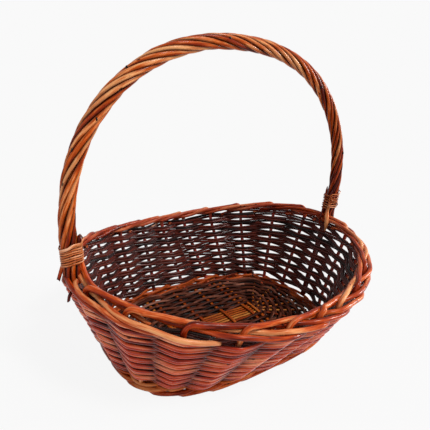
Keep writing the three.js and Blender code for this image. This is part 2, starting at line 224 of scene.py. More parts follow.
# A slow random waver along a rod: its wavelength is in millimetres, its size in what wavers
def waver(along, size, wave, rng):
    total = np.zeros(len(along))
    for part, share in growth["waves"]:
        total += share * np.sin(turn * along / (wave * part) + rng.uniform(0, turn))
    return size * total


# Radius of a grown rod, from butt to tip, with a swelling at each bud
def grownRadius(along, butt, tip, rng):
    share = along / along[-1]
    radius = (butt + (tip - butt) * share) / 2
    radius = radius * (1 + waver(along, *growth["waver"], rng))
    bud = rng.uniform(*growth["firstBud"])
    while bud < along[-1]:
        bulge = np.exp(-((along - bud) / growth["swellingLength"]) ** 2)
        radius = radius * (1 + growth["swelling"] * bulge)
        bud += rng.uniform(*growth["budSpacing"])
    return radius


# Repeats the first and last value, for the rings that close a rod's ends
def withEnds(values):
    return np.concatenate([values[:1], values, values[-1:]])


# A rod's rings of vertices. Each rod is a dictionary with its points, radius and tone, and where
# given: how slanted its ends are cut, a flattened section and the way that faces, and its distance
# out of the wall with its painted shade, darker inside the basket and between the rods. The painted
# shade's numbers say how dark it is at the wall's middle, over how many millimetres outwards it
# fades, and how much darker the rod's own sides are
def rodRings(rod, sides):
    points = np.asarray(rod["points"], float)
    radius = np.broadcast_to(np.asarray(rod["radius"], float), len(points)).copy()
    tangent = unit(np.gradient(points, axis=0))
    normals = np.zeros_like(points)
    if "facing" in rod:
        normals[:] = rod["facing"]
    else:
        # upwards, or along x where the rod starts steep
        side = np.array([0, 0, 1.0]) if abs(tangent[0][2]) < 0.8 else np.array([1.0, 0, 0])
        for i in range(len(points)):
            side = side - tangent[i] * (side @ tangent[i])
            side /= np.linalg.norm(side)
            normals[i] = side
    normals = unit(normals - tangent * np.sum(normals * tangent, axis=1, keepdims=True))
    across = np.cross(tangent, normals)
    along = distanceAlong(points)
    # each end gets a last smaller ring
    pull, shrink = growth["endPull"], growth["endShare"]
    points = np.vstack([
        points[0] - tangent[0] * radius[0] * pull, points, points[-1] + tangent[-1] * radius[-1] * pull])
    along, normals, across, tangent = [withEnds(values) for values in (along, normals, across, tangent)]
    radius = np.concatenate([[radius[0] * shrink], radius, [radius[-1] * shrink]])
    angle = turn * np.arange(sides) / sides
    thin, wide = [np.interp(along, along[1:-1], np.broadcast_to(v, len(along) - 2))[:, None]
                  for v in rod.get("flat", (1, 1))]
    facewise = radius[:, None] * thin * np.cos(angle)
    sideways = radius[:, None] * wide * np.sin(angle)
    offset = facewise[..., None] * normals[:, None] + sideways[..., None] * across[:, None]
    rings = points[:, None] + offset
    slant = rod.get("slant", 0)
    rings[0] += tangent[0] * slant * facewise[0][:, None]
    rings[-1] += tangent[-1] * slant * facewise[-1][:, None]
    grain = np.stack([facewise, sideways, np.broadcast_to(along[:, None], facewise.shape)], -1)
    paintedShadeAndBlack = np.zeros(facewise.shape)
    if "out" in rod:
        count = len(rod["points"])
        out = withEnds(np.broadcast_to(rod["out"], count))
        outward = withEnds(np.broadcast_to(rod["outward"], (count, 3)))
        proud = np.sum(offset * outward[:, None], axis=-1)
        dark, depth, edge = rod.get("paintedShade", growth["paintedShade"])
        # painted shade: darker towards the wall's inside, in the gaps between rods and on the rods' own
        # sides
        paintedShadeAndBlack = dark - (out[:, None] + proud) / depth + edge * (1 - proud / radius[:, None]) ** 2
        paintedShadeAndBlack = np.clip(paintedShadeAndBlack, 0, 1)
    return rings, grain, paintedShadeAndBlack


# One mesh for a list of rods, with closed ends and the attributes that the willow reads
def meshOfRods(name, rods, sides, rng):
    places, faces, grains, paintedShades, tones = [], [], [], [], []
    first = 0
    ringOrder = np.arange(sides)
    nextOrder = (ringOrder + 1) % sides
    for rod in rods:
        rings, grain, paintedShadeAndBlack = rodRings(rod, sides)
        grain[..., 2] += rng.uniform(0, growth["grainShift"])
        count = len(rings)
        low = first + sides * np.arange(count - 1)[:, None]
        quads = np.stack([low + ringOrder, low + nextOrder, low + sides + nextOrder,
                          low + sides + ringOrder], -1)
        faces.extend(quads.reshape(-1, 4).tolist())
        last = first + sides * (count - 1)
        poles = first + sides * count
        faces.extend([poles, first + int(b), first + int(a)] for a, b in zip(ringOrder, nextOrder))
        faces.extend([poles + 1, last + int(a), last + int(b)] for a, b in zip(ringOrder, nextOrder))
        ends = np.stack([rings[0].mean(0), rings[-1].mean(0)])
        places.append(np.vstack([rings.reshape(-1, 3), ends]))
        grains.append(np.vstack([grain.reshape(-1, 3), grain[0].mean(0), grain[-1].mean(0)]))
        paintedShades.append(np.concatenate([paintedShadeAndBlack.ravel(), [paintedShadeAndBlack[0].mean(), paintedShadeAndBlack[-1].mean()]]))
        tone = np.broadcast_to(np.asarray(rod["tone"], float), len(rings) - 2)
        tone = withEnds(tone)
        tones.append(np.concatenate([np.repeat(tone, sides), [tone[0], tone[-1]]]))
        first += len(places[-1])
    mesh = bpy.data.meshes.new(name)
    mesh.from_pydata((np.vstack(places) * mm).tolist(), [], faces)
    mesh.polygons.foreach_set("use_smooth", [True] * len(mesh.polygons))
    writeWillow(mesh, np.vstack(grains) * mm, np.concatenate(paintedShades), np.concatenate(tones))
    piece = bpy.data.objects.new(name, mesh)
    scene.collection.objects.link(piece)
    return piece


def writeWillow(mesh, grain, paintedShadeAndBlack, tone):
    mesh.attributes.new("grain", "FLOAT_VECTOR", "POINT").data.foreach_set("vector", grain.ravel())
    mesh.attributes.new("paintedShadeAndBlack", "FLOAT", "POINT").data.foreach_set("value", paintedShadeAndBlack)
    mesh.attributes.new("tone", "FLOAT", "POINT").data.foreach_set("value", tone)


# Materials
def linearColour(code):
    channels = [int(code[i:i + 2], 16) / 255 for i in (1, 3, 5)]
    return tuple(c / 12.92 if c <= 0.04045 else ((c + 0.055) / 1.055) ** 2.4 for c in channels) + (1,)


# Adds a node: small names are its settings, capital names and numbers its inputs
def addNode(tree, kind, settings=None, links=None):
    node = tree.nodes.new(kind)
    for key, value in (settings or {}).items():
        if isinstance(key, int) or key[0].isupper():
            node.inputs[key].default_value = value
        else:
            setattr(node, key, value)
    for key, source in (links or {}).items():
        tree.links.new(source, node.inputs[key])
    return node


def fillRamp(ramp, stops):
    while len(ramp.elements) < len(stops):
        ramp.elements.new(0.5)
    for element, (place, code) in zip(ramp.elements, stops):
        element.position = place
        element.color = linearColour(code)


# Willow rod, soaked, woven, stained and sprayed with varnish: the stain runs darker and lighter
# in streaks along the rod and pools dark at buds, painted shade darkens it on the inside and
# between the rods, and the varnish gives soft gloss
def makeWillow(name, finish):
    material = bpy.data.materials.new(name)
    material.use_nodes = True
    tree = material.node_tree
    tree.nodes.clear()
    grain = addNode(tree, "ShaderNodeAttribute", {"attribute_name": "grain"}).outputs["Vector"]
    paintedShadeAndBlack = addNode(tree, "ShaderNodeAttribute", {"attribute_name": "paintedShadeAndBlack"}).outputs["Fac"]
    tone = addNode(tree, "ShaderNodeAttribute", {"attribute_name": "tone"}).outputs["Fac"]
    noises = []
    for across, along, detail, roughness in (finish["streak"], finish["patch"]):
        scale = (1 / (across * mm), 1 / (across * mm), 1 / (along * mm))
        place = addNode(tree, "ShaderNodeMapping", {"Scale": scale}, {"Vector": grain})
        noises.append(addNode(tree, "ShaderNodeTexNoise", {
            "Scale": 1, "Detail": detail, "Roughness": roughness},
            {"Vector": place.outputs[0]}).outputs["Fac"])
    streak, patch = noises
    blend = addNode(tree, "ShaderNodeMix", {"data_type": "FLOAT", "Factor": finish["patchShare"]},
                    {"A": streak, "B": patch}).outputs[0]
    level = addNode(tree, "ShaderNodeMath", {"operation": "MULTIPLY_ADD", 1: finish["toneShare"]},
                    {0: tone, 2: blend}).outputs[0]
    ramps = []
    for side in ("outer", "inner"):
        ramp = addNode(tree, "ShaderNodeValToRGB", links={"Fac": level})
        fillRamp(ramp.color_ramp, list(zip(finish[side + "Places"], finish[side])))
        ramps.append(ramp.outputs["Color"])
    # the inner colours are painted shade, mixed in where the rods lie inside or between other rods
    stainedAndShaded = addNode(tree, "ShaderNodeMix", {"data_type": "RGBA"}, {
        "Factor": paintedShadeAndBlack, 6: ramps[0], 7: ramps[1]}).outputs[2]
    # buds: dark spots up to 3 mm wide and 5 mm long
    across, along = finish["budSpacing"]
    budPlace = addNode(tree, "ShaderNodeMapping", {
        "Scale": (1 / (across * mm), 1 / (across * mm), 1 / (along * mm))}, {"Vector": grain})
    budDistance = addNode(tree, "ShaderNodeTexVoronoi", {"Scale": 1}, {"Vector": budPlace.outputs[0]})
    core, rim = finish["budSize"]
    bud = addNode(tree, "ShaderNodeMapRange", {
        "From Min": core, "From Max": rim, "To Min": finish["budShare"], "To Max": 0},
        {"Value": budDistance.outputs["Distance"]}).outputs[0]
    colour = addNode(tree, "ShaderNodeMix", {"data_type": "RGBA", 7: linearColour(finish["budColour"])},
                     {"Factor": bud, 6: stainedAndShaded}).outputs[2]
    duller, glossier = finish["glossRange"]
    darkest, lightest = finish["glossStreaks"]
    gloss = addNode(tree, "ShaderNodeMapRange", {
        "From Min": darkest, "From Max": lightest, "To Min": finish["roughness"] + duller,
        "To Max": finish["roughness"] - glossier}, {"Value": streak}).outputs[0]
    bump = addNode(tree, "ShaderNodeBump", {
        "Strength": finish["bump"], "Distance": finish["bumpHeight"] * mm}, {"Height": blend})
    surface = addNode(tree, "ShaderNodeBsdfPrincipled", {
        "IOR": finish["ior"], "Specular IOR Level": finish["shine"], "Sheen Weight": finish["haze"],
        "Sheen Roughness": finish["hazeRoughness"], "Sheen Tint": linearColour(finish["hazeColour"])},
        {"Base Color": colour, "Roughness": gloss, "Normal": bump.outputs[0]})
    addNode(tree, "ShaderNodeOutputMaterial", links={"Surface": surface.outputs[0]})
    return material


willow = {
    # stain streaks and patches: millimetres across and along a rod, then the noise's detail and
    # roughness
    "streak": (1.5, 18, 4, 0.62),
    "patch": (6, 38, 2, 0.5),
    "patchShare": 0.5,
    "toneShare": 0.065,
    "outerPlaces": (0.3, 0.42, 0.53, 0.68),
    "innerPlaces": (0.36, 0.62),
    "budSpacing": (9, 16),      # millimetres across and along
    "budSize": (0.1, 0.16),     # of that: its dark core, and where it ends
    "budShare": 0.85,
    "budColour": "#160805",
    "ior": 1.5,                 # of the varnish
    "shine": 0.08,
    "roughness": 0.24,
    "glossRange": (0.1, 0.06),  # rougher in the dark streaks, smoother in the light ones
    "glossStreaks": (0.3, 0.7),
    "haze": 0.0,                # pale bloom of old varnish, seen at a flat angle
    "hazeRoughness": 0.4,
    "hazeColour": "#ffd8e0",
    "bump": 0.4,
    "bumpHeight": 0.3,          # millimetres
}
# outer: stain colours from the darkest streak to the lightest, inner: the same in painted shade, for the
# inside and the gaps between rods
stakeWillow = makeWillow("StainedStakeWillow", {
    **willow, "outer": ("#4a0c02", "#902a08", "#bc4e1a", "#e09a64"), "inner": ("#480c08", "#a03428"),
    "shine": 0.14})
sidingWillow = makeWillow("StainedWovenWillow", {
    **willow, "outer": ("#620e04", "#a82c0e", "#cc5024", "#e69068"), "inner": ("#120401", "#5c1c0c"),
    "shine": 0.16, "haze": 0.25})
waleWillow = makeWillow("StainedThickWillow", {
    **willow, "outer": ("#5a1206", "#98340e", "#b85420", "#d08450"), "inner": ("#5a1806", "#b45020")})
baseWillow = makeWillow("DarkBaseWillow", {
    **willow, "outer": ("#160603", "#3a160b", "#5c2c1c", "#94604e"), "inner": ("#070201", "#1a0804"),
    "shine": 0.06, "roughness": 0.4})
slathWillow = makeWillow("PeeledSlathWillow", {
    **willow, "outer": ("#541604", "#842c06", "#a0480e", "#c07c3a"), "inner": ("#140401", "#3c1003")})
handleWillow = makeWillow("VarnishedHandleWillow", {
    **willow, "outer": ("#4c0c03", "#902c04", "#b85010", "#e4a068"), "inner": ("#160301", "#4a1004"),
    "shine": 0.12, "toneShare": 0.07})
skeinWillow = makeWillow("VarnishedSkeinWillow", {
    **willow, "outer": ("#561604", "#9a4014", "#c4703c", "#f0bc98"), "inner": ("#4a1404", "#a05428"),
    "shine": 0.16})
print("willow materials made")


def finishPiece(piece, material, slotName, *nodes):
    piece.data.materials.append(material)
    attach(piece, "root")
    if nodes:
        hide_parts(*nodes)


def addRods(name, rods, sides, rng, material, slotName, *nodes):
    finishPiece(meshOfRods(name, rods, sides, rng), material, slotName, *nodes)


# Stakes: up through the wall, over at the border and down along it
stakes = {
    "seed": 11,
    "sides": 12,                # of a rod's section
    "slant": 0.6,               # slope of its cut ends
    "start": 12,                # in from the wall's middle, inside the wale
    "butt": 6.5,
    "tip": 5.3,
    "wallShare": 0.86,          # thinner where the weaving grips it
    "top": 0.9,                 # rod spacings up, where a rod turns over on top
    "backDrop": 0.45,           # lower by this at the back, where it turns
    "knuckle": 5.4,             # length of the turn
    "corner": 0.4,
    "step": 2.4,
    "heights": (7, 30, 55, 80),             # in the wall, and last this far below its top
    "belowTop": 8,
    "startHeight": 5.5,
    "ahead": 0.3,               # stake spaces to where it points as it turns
    "stray": 0.35,
    "sizes": (0.93, 1.07),
    "outInWall": 0.6,           # for the painted shade, which is dark in the wall and light in the border
    "outInBorder": 3.5,
    "thinFade": 6,              # it gets thinner over this height, and only on its first stretch
    "thinReach": 160,
    "stops": {9: 2.4, 8: 2.4, 7: 3.5},      # rods cut before they pass outside the handle's left foot
    # stake spaces along, then rod spacings out and up from the border's middle
    "route": [
        (0.3, -0.34, 0.94), (0.6, -0.7, 0.88), (1, -1.0, 0.74), (1.4, -1.12, 0.42), (1.7, -1.12, 0.06),
        (2, -1.0, -0.24), (2.3, -0.62, -0.28), (2.6, 0.3, -0.12), (2.85, 0.95, -0.08), (3, 1.14, -0.16),
        (3.5, 1.28, -0.5), (4, 1.27, -1.05), (4.3, 0.75, -1.5), (4.6, -0.2, -1.9),
    ],
}
stakeNumbers = [n for n in range(wall["stakes"]) if n not in handlePlaces.values()]


def stakeLine(number, rng):
    angle = float(stakeAngle(number))
    heights = np.array([*stakes["heights"], wallTop(angle) - stakes["belowTop"]])
    knuckle = stakes["knuckle"]
    drop = stakes["backDrop"] * max(math.sin(angle), 0)
    top = (stakes["top"] - drop) * wall["rodSpacing"]
    start = borderPoint(number, wall["columnOut"], top)
    ahead = borderPoint(number + stakes["ahead"], wall["columnOut"], top) - start
    ahead[2] = 0
    ahead /= np.linalg.norm(ahead)
    bend = start + ahead * knuckle * stakes["corner"] - np.array([0, 0, knuckle * stakes["corner"]])
    foot = wallPoint(angle, stakes["startHeight"], -stakes["start"])
    column = borderPoint(number, wall["columnOut"], top - knuckle)
    points = [foot, *wallPoint(angle, heights, 0), column, bend, start + ahead * knuckle]
    stop = stakes["stops"].get(number, math.inf)
    for spaces, out, up in stakes["route"]:
        if spaces > stop:
            break
        shift = rng.normal(0, stakes["stray"], 2)
        up = up - drop * max(1 - spaces, 0)
        points.append(borderPoint(number + spaces, out * wall["rodSpacing"] + shift[0],
                                  up * wall["rodSpacing"] + shift[1]))
    line = curveThrough(points, stakes["step"])
    inWall = line[:, 2] < wallTop(angle)
    inWall[np.argmax(~inWall):] = False
    # painted shade: dark where the stake runs in the wall, light in the border
    out = np.where(inWall, stakes["outInWall"], stakes["outInBorder"])
    outward = wallOutward(angle, np.minimum(line[:, 2], wallTop(angle)))
    return line, out, outward


rng = np.random.default_rng(stakes["seed"])
for number in stakeNumbers:
    line, out, outward = stakeLine(number, rng)
    size = rng.uniform(*stakes["sizes"])
    along = distanceAlong(line)
    below = wallTop(float(stakeAngle(number))) - line[:, 2]
    inWall = np.clip(below / stakes["thinFade"], 0, 1) * (along < stakes["thinReach"])
    share = 1 - (1 - stakes["wallShare"]) * inWall
    rod = {
        "points": line, "out": out, "outward": outward, "tone": rng.normal(),
        "slant": stakes["slant"],
        "radius": grownRadius(along, stakes["butt"] * size, stakes["tip"] * size, rng) * share,
    }
    name = f"stake_{number:02d}"
    addRods(f"rod_{name}", [rod], stakes["sides"], rng, stakeWillow, "willow_stake", name)
print("stakes and border:", len(stakeNumbers))

# Siding: two series of rods chase each other round, each laid in as pairs, one rod above the
# other, in front of one stake and behind the next
siding = {
    "seed": 23,
    "sides": 8,
    "slant": 0.8,
    "rows": 18,
    "steps": 12,                # from stake to stake
    "butt": 4.4,
    "tip": 3.8,
    "apart": 3.4,               # the rods of a pair
    "swing": 6.3,               # out of the wall's middle at a stake
    "sharpness": 0.99,          # 1 bends the rods at the stakes only
    "spaces": (20, 28),         # stakes that one rod passes
    "starts": (3, 15),
    "lead": 0.45,               # stake spaces that a rod reaches back before its first stake
    "tail": 0.4,                # and on past its last one
    "edge": 0.3,                # rows left free below and above
    "aboveWale": 2,
    "intoBorder": 4,
    # a new rod comes in from inside the wall and from below, over so many stake spaces
    "comesIn": {"over": 0.9, "out": 3.2, "down": 1.2},
    "sizes": (0.92, 1.08),
    # size and wavelength of the wavers of a pair, then of each of its rods
    "pairOut": (0.25, 90),
    "pairUp": (0.55, 150),
    "rodOut": (0.15, 60),
    "rodUp": (0.2, 90),
    # painted shade: dark on the wall's inside, between the rods and on their sides
    "paintedShade": (1.1, 4.4, 3),
}


def weaveRods(rng):
    rods = []
    for series, start in enumerate(siding["starts"]):
        end = start + siding["rows"] * wall["stakes"] // 2
        place = start
        while place < end:
            length = int(rng.integers(*siding["spaces"]))
            stop = min(place + length + (place + length + start + 1 + series) % 2, end)
            lead, tail = siding["lead"], siding["tail"]
            count = int((stop - place + lead + tail) * siding["steps"])
            number = np.linspace(place - lead, stop + tail, count)
            number = np.clip(number, start - lead, end + tail)
            row = 2 * (number - start) / wall["stakes"]
            side = np.arcsin(siding["sharpness"] * np.cos(np.pi * (number - start)))
            side = side / math.asin(siding["sharpness"]) * (1 if series == 0 else -1)
            angle = stakeAngle(number)
            along = distanceAlong(wallPoint(angle, wall["rimHeight"] / 2))
            out = siding["swing"] * side + waver(along, *siding["pairOut"], rng)
            comesIn = siding["comesIn"]
            begins = np.clip(1 - (number - number[0]) / comesIn["over"], 0, 1)
            out = out - comesIn["out"] * begins ** 2
            low, high = wall["waleHeight"] + siding["aboveWale"], wallTop(angle) + siding["intoBorder"]
            height = low + (high - low) * (row + siding["edge"]) / (siding["rows"] + 2 * siding["edge"])
            height = height + waver(along, *siding["pairUp"], rng) - comesIn["down"] * begins
            for lift in (0.5, -0.5):
                outFrom = out + waver(along, *siding["rodOut"], rng)
                level = height + lift * siding["apart"] + waver(along, *siding["rodUp"], rng)
                points = wallPoint(angle, level, outFrom)
                size = rng.uniform(*siding["sizes"])
                rods.append({
                    "points": points, "out": outFrom, "outward": wallOutward(angle, level),
                    "tone": rng.normal(), "slant": siding["slant"], "paintedShade": siding["paintedShade"],
                    "radius": grownRadius(distanceAlong(points), siding["butt"], siding["tip"], rng) * size,
                })
            place = stop
    return rods


rng = np.random.default_rng(siding["seed"])
rods = weaveRods(rng)
addRods("siding_weave", rods, siding["sides"], rng, sidingWillow, "willow_siding", "siding")
print("siding rods:", len(rods))

# Upsett wale: three thick rods twist round, in front of two stakes and behind one, and above them
# a thinner pair, in front of one and behind one
wale = {
    "seed": 31,
    "sides": 8,
    "steps": 8,
    "diameter": 5.7,
    "swing": 4.6,
    "middle": 6.6,
    "slant": 3.3,               # rise and fall of a rod about that
    "pairDiameter": 4.2,
    "pairSwing": 4.4,
    "pairMiddle": 12.8,
    "pairSlant": 1.1,
    "pairFirst": 5,             # stake where the pair begins
    "overlap": 0.5,             # stake spaces that a rod goes on past its own beginning
    "measured": 10,             # height at which the way round is measured
    # the three rods' way out and in: its middle, how flat its waves are cut, and how far they lean out
    "out": (0.4, 1.3, 0.35),
    "riseLag": 0.4,             # radians that the rise comes after the swing
    "sizes": (0.94, 1.06),
    "butt": 1.05,               # shares of the diameter
    "tip": 0.93,
    "outWaver": (0.25, 70),
    "upWaver": (0.35, 110),
    "offFloor": 0.1,
    "toneSpread": 1.2,
}


def waleRod(first, count, diameter, rng):
    number = np.linspace(0, wall["stakes"] + wale["overlap"], wall["stakes"] * wale["steps"]) + first
    phase = turn * (number - first) / count
    angle = stakeAngle(number)
    along = distanceAlong(wallPoint(angle, wale["measured"]))
    size = diameter * rng.uniform(*wale["sizes"])
    radius = grownRadius(along, size * wale["butt"], size * wale["tip"], rng)
    if count == 3:
        middle, steepness, lean = wale["out"]
        out = middle + wale["swing"] * np.clip(steepness * np.cos(phase) + lean, -1, 1)
        height = wale["middle"] + wale["slant"] * np.sin(phase - wale["riseLag"])
    else:
        out = wale["pairSwing"] * np.cos(phase)
        height = wale["pairMiddle"] + wale["pairSlant"] * np.sin(phase)
    out = out + waver(along, *wale["outWaver"], rng)
    height = np.maximum(height + waver(along, *wale["upWaver"], rng), radius + wale["offFloor"])
    return {
        "points": wallPoint(angle, height, out), "out": out, "outward": wallOutward(angle, height),
        "tone": rng.normal() * wale["toneSpread"], "radius": radius,
    }


def waleRods(rng):
    rods = [waleRod(weaver, 3, wale["diameter"], rng) for weaver in range(3)]
    return rods + [waleRod(wale["pairFirst"] + weaver, 2, wale["pairDiameter"], rng) for weaver in range(2)]


rng = np.random.default_rng(wale["seed"])
rods = waleRods(rng)
addRods("wale_weave", rods, wale["sides"], rng, waleWillow, "willow_wale", "upsett_wale")
print("wale rods:", len(rods))

# Base: split cross sticks with long sticks pushed through, and rods woven round them
base = {
    "seed": 41,
    "sides": 8,
    "stickSides": 10,
    "middle": 6.0,              # height of the sticks' middle
    "longCount": 6,
    "longDiameter": 4.4,
    "longGap": 0.6,
    "longSpread": 27,
    "crossPlaces": [-68, -57, -19, 19, 57, 68],
    "crossHalf": 2.9,           # thickness of one half of a split stick
    "margin": 5,
    "rings": 15,
    "edge": 5.0,                # the last ring lies this far past the sticks' ends, against the wale
    "rodDiameter": 5.4,
    "swing": 2.9,
    "sticksInside": 2,          # the sticks' ends, from the plate's edge
    "longBend": (12, 2),        # from the slath's end, where the long sticks begin to fan out
    "longTaper": (0.2, 0.3),    # thicker at the butt, thinner at the tip
    "longTone": 0.8,
    # painted shade: the sticks darker underneath and on their sides
    "longPaintedShade": (1.5, 2.0, 0.8),
    "crossPaintedShade": (0.8, 2.5, 0.3),
    "crossFlat": (1.0, 1.8),    # thickness and width of a split half, in radii
    "crossPress": 0.2,          # how far a half presses into the long sticks
    "crossDown": ((-3, 0), (2, 0.5)),       # from the slath's side, how far it has come down there
    "crossTogether": (12, 16),  # from the slath's side, where the halves have come together
    "crossApart": 0.4,          # how far each then lies from the middle, in thicknesses
    "crossWaver": (0.3, 120),
    "crossRough": (0.03, 50),   # share of the radius, and wavelength
    "step": 4,
    "ringStep": 4.5,
    "ringWaver": ((0.4, 90), (0.4, 110)),   # along the base and across it
    "shortestRod": 20,          # steps
    "nearestRing": 0.6,         # how far the first ring presses into the slath's side
    "rodSteps": (150, 210),     # steps of the line that one rod covers
    "rodOverlap": 3,
    "sizes": (0.94, 1.06),
    "butt": 1.04,               # shares of the diameter
    "tip": 0.94,
    "offFloor": 0.1,
    # painted shade: the rods darker below the weave's middle and on their sides
    "paintedShade": (0.6, 5, 1.5),
}
plateHalfLength = wall["baseHalfLength"] - wall["thickness"] - wall["clearance"]
plateHalfWidth = wall["baseHalfWidth"] - wall["thickness"] - wall["clearance"]
slathHalfWidth = (base["longDiameter"] + base["longGap"]) * base["longCount"] / 2
slathHalfLength = max(base["crossPlaces"]) + base["margin"]


def plateReach(place, alongHalf, acrossHalf):
    share = min(abs(place) / alongHalf, 1)
    return acrossHalf * (1 - share ** wall["baseSquareness"]) ** (1 / wall["baseSquareness"])


rng = np.random.default_rng(base["seed"])
thicker, thinner = base["longTaper"]
longEnds = []
for index in range(base["longCount"]):
    place = index - (base["longCount"] - 1) / 2
    near, far = place * (base["longDiameter"] + base["longGap"]), place * base["longSpread"]
    reach = plateReach(far, plateHalfWidth, plateHalfLength) - base["sticksInside"]
    longEnds.append((near, far, reach + base["edge"]))
    z = base["middle"]
    half = [(0, near, z), *[(slathHalfLength - back, near, z) for back in base["longBend"]],
            ((reach + slathHalfLength) / 2, (near + far) / 2, z), (reach, far, z)]
    line = curveThrough([(-x, y, z) for x, y, z in half[:0:-1]] + half, base["step"])
    along = distanceAlong(line)
    rod = {
        "points": line, "tone": rng.normal() + base["longTone"], "paintedShade": base["longPaintedShade"],
        "radius": grownRadius(along, base["longDiameter"] + thicker, base["longDiameter"] - thinner, rng),
        "out": 1.0, "outward": (0, 0, 1),
    }
    name = f"base_long_stick_{index + 1}"
    addRods(f"peeled_{name}", [rod], base["stickSides"], rng, slathWillow, "willow_slath", name)
for index, place in enumerate(base["crossPlaces"]):
    reach = plateReach(place, plateHalfLength, plateHalfWidth) - base["sticksInside"]
    rods = []
    for lift in (1, -1):
        z = base["middle"]
        over = z + lift * (base["longDiameter"] / 2 + base["crossHalf"] / 2 - base["crossPress"])
        apart = z + lift * base["crossHalf"] * base["crossApart"]
        half = slathHalfWidth
        stops = [(0, over), *[(half + past, over - lift * down) for past, down in base["crossDown"]],
                 *[(half + past, apart) for past in base["crossTogether"]], (reach, apart)]
        stops = [(place, -y, z) for y, z in stops[:0:-1]] + [(place, y, z) for y, z in stops]
        line = curveThrough(stops, base["step"])
        along = distanceAlong(line)
        line[:, 0] += waver(along, *base["crossWaver"], rng)
        rods.append({
            "points": line, "tone": rng.normal(), "paintedShade": base["crossPaintedShade"],
            "out": 1.0, "outward": (0, 0, 1),
            "radius": base["crossHalf"] / 2 * (1 + waver(along, *base["crossRough"], rng)),
            "flat": base["crossFlat"], "facing": (0, 0, 1),
        })
    name = f"base_cross_stick_{index + 1}"
    addRods(f"split_{name}", rods, base["stickSides"], rng, slathWillow, "willow_slath", name)


# Where the base's weaving passes its sticks, from the right end anticlockwise: near the slath,
# then at the edge, with a close pair of cross sticks passed as one
def baseCrossings():
    crossings = [[((slathHalfLength, near), (reach, far))] for near, far, reach in longEnds]
    nearY = slathHalfWidth + base["rodDiameter"] / 2 - base["nearestRing"]
    outermost, outer, inner = [abs(place) for place in base["crossPlaces"][:3]]
    for group in ([outermost, outer], [inner], [-inner], [-outer, -outermost]):
        farY = [plateReach(x, plateHalfLength, plateHalfWidth) - base["sticksInside"] + base["edge"]
                for x in group]
        crossings.append([((x, nearY), (x, y)) for x, y in zip(group, farY)])
    turned = [[((-nx, -ny), (-fx, -fy)) for (nx, ny), (fx, fy) in group] for group in crossings]
    return crossings + turned


def baseRings(rng):
    crossings = baseCrossings()
    rods = []
    for series in range(2):
        points, sign = [], 1 if series == 0 else -1
        halfLap = len(crossings) // 2
        for step in range((base["rings"] + 1) * halfLap + 1):
            index = (step + series * halfLap) % len(crossings)
            share = min(max((step / halfLap - 1) / (base["rings"] - 1), 0), 1)
            for near, far in crossings[index]:
                flat = np.array(near) + (np.array(far) - np.array(near)) * share
                points.append((*flat, base["middle"] + sign * base["swing"]))
            sign = -sign
        line = curveThrough(points, base["ringStep"])
        along = distanceAlong(line)
        for axis, waves in enumerate(base["ringWaver"]):
            line[:, axis] += waver(along, *waves, rng)
        start = 0
        while start < len(line) - base["shortestRod"]:
            stop = min(start + int(rng.integers(*base["rodSteps"])), len(line))
            part = line[start:stop].copy()
            size = base["rodDiameter"] * rng.uniform(*base["sizes"])
            radius = grownRadius(distanceAlong(part), size * base["butt"], size * base["tip"], rng)
            part[:, 2] = np.maximum(part[:, 2], radius + base["offFloor"])
            rods.append({
                "points": part, "radius": radius, "tone": rng.normal(), "paintedShade": base["paintedShade"],
                "out": part[:, 2] - base["middle"], "outward": (0, 0, 1),
            })
            start = stop - base["rodOverlap"]
    return rods


rods = baseRings(rng)
addRods("base_weaving", rods, base["sides"], rng, baseWillow, "willow_base", "base_weave")
print("base rods:", len(rods))

# Handle: a bow with thinner rods wound round it like a rope
handle = {
    "seed": 53,
    "sides": 12,
    "bowSlant": 1.2,
    "halfWidth": 202.3,
    "shoulder": 183,
    "height": 375,
    "squareness": 2.18,
    "lean": 3,
    "footForward": 5,
    "bowDiameter": 7.2,
    "bowEnd": 12,               # its width where it passes the border, pared flat to its tip
    "bowTip": 10,
    "rods": 8,
    "rodDiameter": 4.9,
    "ropeRadius": 6.2,
    "turns": 4.5,
    "footClearance": 1.2,
    "paintedShade": 1.5,               # painted shade: tones darker at the right foot than at the left
    "paintedLight": 1.7,              # painted light: tones lighter on top
    "paintedLightOver": 150,          # height over which that comes, from the shoulder
    "tone": (-0.5, 1.2),        # middle and spread of the rods' tones
    "sizes": (0.93, 1.07),
    "taper": 0.1,               # share thicker at one end and thinner at the other
    "wind": (0.1, 260),         # wavers of a rod round the rope, and in and out of it
    "inOut": (0.35, 120),
    # where the rods go in at a foot: shares of their places round it, and how far down
    "footPlaces": ((1.15, 1.75, 15), (1.0, 1.25, 5)),
    # painted shade: darker on the rods' sides towards the rope's middle, between the rods
    "rodPaintedShade": (1.2, 2.1, 0),
    "bowHeights": (0.14, 0.45, 0.75, 0.97),     # shares of the wall's height
    "bowPass": 2.6,             # above the border's middle
    "paredOver": 100,
    "bowFlat": 0.55,            # thickness of the pared end, as a share of its width
    "bowTones": (0.8, -4),      # over and in the wall; the dark in the wall is painted shade
    "step": 4,
    "rodStep": 3.2,
    "sidePoints": (5, 16),      # below and above the shoulder
    "upwards": 0.01,            # turns the bow's flat side up on top, where inwards runs along it
}
borderTop = wall["knuckleUp"] + wall["stakeDiameter"] / 2
sideSigns = {"left": -1, "right": 1}


def archFoot(name):
    foot = borderPoint(handlePlaces[name], wall["columnOut"], borderTop + handle["footClearance"])
    return foot - np.array([0, handle["footForward"], 0])


